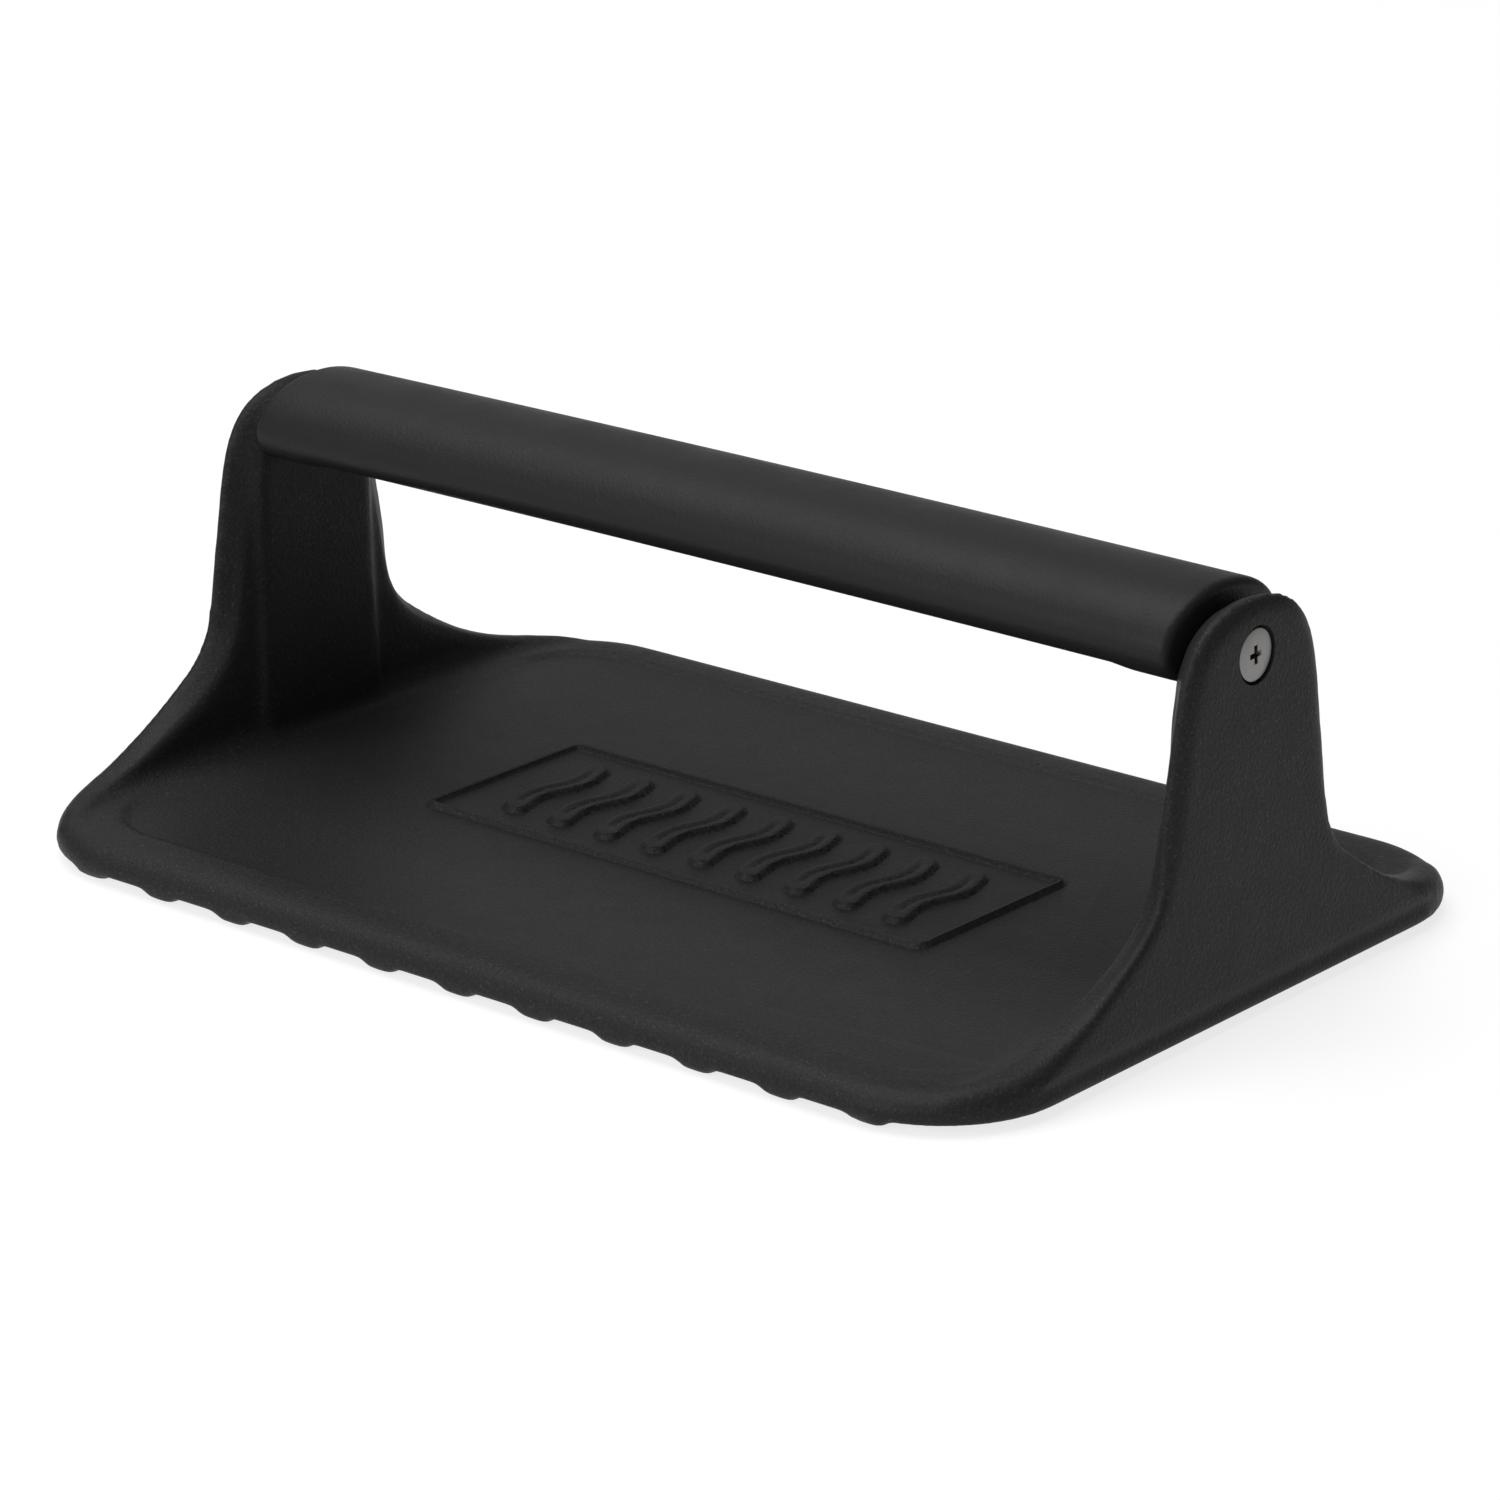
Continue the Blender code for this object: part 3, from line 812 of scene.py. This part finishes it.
def addGrip(shape):
    # an oval drawn out from the right end to the left, through rounded ends, lands and a low arch
    v = grip
    station = shape.verts.layers.int.new("station")
    ring = bmesh.ops.create_circle(shape, cap_ends=True, segments=v["roundSteps"], radius=1)["verts"]
    bmesh.ops.rotate(shape, verts=ring, cent=(0, 0, 0), matrix=Matrix.Rotation(pi / 2, 3, "Y"))
    rounding = v["endRounding"]
    ends = [
        (v["halfLength"] - rounding * (1 - sin(turn)), rounding * (1 - cos(turn)))
        for turn in np.linspace(pi / 2, 0, 7)
    ]
    lands = np.linspace(v["landEnd"] + 1, v["landStart"] - 1, 10)
    middle = np.linspace(v["landStart"] - 4, 0, 14)
    half = ends + [(x, 0) for x in lands] + [(x, 0) for x in middle]
    stations = half + [(-x, inset) for x, inset in reversed(half[:-1])]
    for index, vertex in enumerate(ring):
        vertex[station] = index
    turns = {vertex[station]: (vertex.co.y, vertex.co.z) for vertex in ring}
    shape.faces.ensure_lookup_table()
    face = shape.faces[0]

    def put(vertex, x, inset):
        across, up = turns[vertex[station]]
        upright = v["rise"] if up > 0 else v["drop"]
        lift = v["arch"] * (1 - (x / v["halfLength"]) ** 2)
        land = float(ramp(abs(x), v["landStart"], v["landEnd"])) * v["landDrop"] * max(0.0, -up)
        level = v["axisHeight"] + lift + up * (upright - inset) - land
        vertex.co = (x, across * (v["halfWidth"] - inset), level)

    for vertex in face.verts:
        put(vertex, *stations[0])
    for x, inset in stations[1:]:
        face = extrudedFace(shape, face)
        for vertex in face.verts:
            put(vertex, x, inset)


def addPocket(shape, side):
    # the blind hole in the grip's end that the insert sits in
    radius, depth = grip["pocketRadius"], grip["pocketDepth"]
    start = halfLength - grip["halfLength"]
    top, bottom = 1.0 - start, -depth - start
    turned(shape, [(0, top), (radius, top), (radius, bottom), (0, bottom)], side)


gripMesh = carvedMesh("grip", solidMesh(addGrip), [solidMesh(addPocket, side) for side in (-1, 1)])
gripPiece = newPiece("ovalGrip", gripMesh, gripMaterial, 40)
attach(gripPiece, "root")
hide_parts("handle_grip")
print("grip done:", len(gripPiece.data.polygons), "faces")


screw = {
    "headRadius": 4.6,
    "rim": 0.4,  # height of the head's straight edge
    "sink": 0.3,  # how far the head lies below the wall's face
    "shankRadius": 2.5,
    "length": 20.0,
    "threadPitch": 0.8,
    "threadDepth": 0.4,
    "crossLength": 5.0,
    "crossWidth": 1.15,
    "crossDepth": 2.2,
    "crossFoot": (0.32, 0.62),  # length and width of a bar's foot, as shares of its mouth
    "turn": {"left": 27, "right": 4},  # degrees that each one was driven round
}


def addScrew(shape, side):
    # a countersunk head on a threaded shank, whose thread is drawn as rings
    v = screw
    coneFoot = v["rim"] + v["headRadius"] - v["shankRadius"]
    profile = [
        (0, 0), (v["headRadius"] - 0.25, 0), (v["headRadius"] - 0.07, -0.07), (v["headRadius"], -0.25),
        (v["headRadius"], -v["rim"]), (v["shankRadius"], -coneFoot),
    ]
    root = v["shankRadius"] - v["threadDepth"]
    level = -coneFoot - 1.0
    while level > -v["length"] + 1.2:
        profile += [(v["shankRadius"], level), (root, level - 0.35), (v["shankRadius"], level - 0.7)]
        level -= v["threadPitch"]
    profile += [(v["shankRadius"] - 0.5, -v["length"]), (0, -v["length"])]
    turned(shape, [(radius, height - v["sink"]) for radius, height in profile], side, 56)


def addCross(shape, side, turn):
    # one bar of the cross recess, narrower at its foot
    v = screw
    made = bmesh.ops.create_cube(shape, size=1)["verts"]
    bmesh.ops.scale(shape, verts=made, vec=(v["crossLength"], v["crossWidth"], 2 * v["crossDepth"]))
    foot = [vertex for vertex in made if vertex.co.z < 0]
    bmesh.ops.scale(shape, verts=foot, vec=(*v["crossFoot"], 1))
    bmesh.ops.rotate(shape, verts=made, cent=(0, 0, 0), matrix=Matrix.Rotation(turn, 3, "Z"))
    bmesh.ops.transform(shape, matrix=screwPlace(side, halfLength - v["sink"]), verts=made)


for side, word in ((-1, "left"), (1, "right")):
    start = radians(screw["turn"][word])
    bars = [solidMesh(addCross, side, start + turn) for turn in (0, pi / 2)]
    mesh = carvedMesh("screw", solidMesh(addScrew, side), bars)
    piece = newPiece(word + "GripScrew", mesh, zincMaterial, 30)
    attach(piece, "root")
    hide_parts(word + "_screw")
for word in ("left", "right"):
    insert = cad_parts[word + "_insert"]
    insert.data.materials.clear()
    insert.data.materials.append(brassMaterial)
print("screws and inserts done")


studio = {
    "floorSize": 8.0,  # metres, like all the places here
    "floorColour": "#808080",
    "floorGlow": 0.78,  # a lit sweep: it stays white under soft light, with only a light shadow
    "worldStrength": 0.06,
    "softboxes": [  # name, place, aim, size, watts
        ("overheadSoftbox", (-0.5, -0.1, 2.2), (0, 0, 0), (2.2, 2.2), 56.0),
        ("frontSoftbox", (-0.2, -1.6, 0.85), (0, 0, 0.04), (1.8, 1.0), 21.0),
        ("backSoftbox", (-1.3, 1.7, 0.9), (0, 0, 0.05), (2.6, 1.6), 5.0),
    ],
    "cameraPlace": (0.6147, -0.7393, 0.3590),
    "cameraAim": (0.00208, 0.0, 0.02437),
    "cameraLens": 137.55,  # mm on a 36 mm sensor
}

floorShape = bmesh.new()
bmesh.ops.create_grid(floorShape, x_segments=1, y_segments=1, size=studio["floorSize"] / 2)
floor = linkedObject("studioFloor", meshOf(floorShape, "studioFloor"))
floorMaterial = newMaterial("whitePaperSweep", {
    "Roughness": 0.9, "Specular IOR Level": 0.1, "Base Color": linear(studio["floorColour"]),
    "Emission Color": (1, 1, 1, 1), "Emission Strength": studio["floorGlow"],
})[0]
floor.data.materials.append(floorMaterial)

world = bpy.data.worlds.new("paleStudio")
world.use_nodes = True
backdrop = world.node_tree.nodes["Background"]
backdrop.inputs["Color"].default_value = (1, 1, 1, 1)
backdrop.inputs["Strength"].default_value = studio["worldStrength"]
bpy.context.scene.world = world


def addAimed(name, data, place, aim):
    # a lamp or camera at a place, pointed at another
    thing = linkedObject(name, data)
    thing.location = place
    thing.rotation_euler = (Vector(aim) - Vector(place)).to_track_quat("-Z", "Y").to_euler()
    return thing


for name, place, aim, size, watts in studio["softboxes"]:
    light = bpy.data.lights.new(name, "AREA")
    light.shape = "RECTANGLE"
    light.size, light.size_y = size
    light.energy = watts
    addAimed(name, light, place, aim)

camera = bpy.data.cameras.new("mainCamera")
camera.lens = studio["cameraLens"]
camera.sensor_width = 36
camera.clip_start = 0.05
bpy.context.scene.camera = addAimed("mainCamera", camera, studio["cameraPlace"], studio["cameraAim"])
bpy.context.scene.view_settings.view_transform = "Standard"
print("studio done")
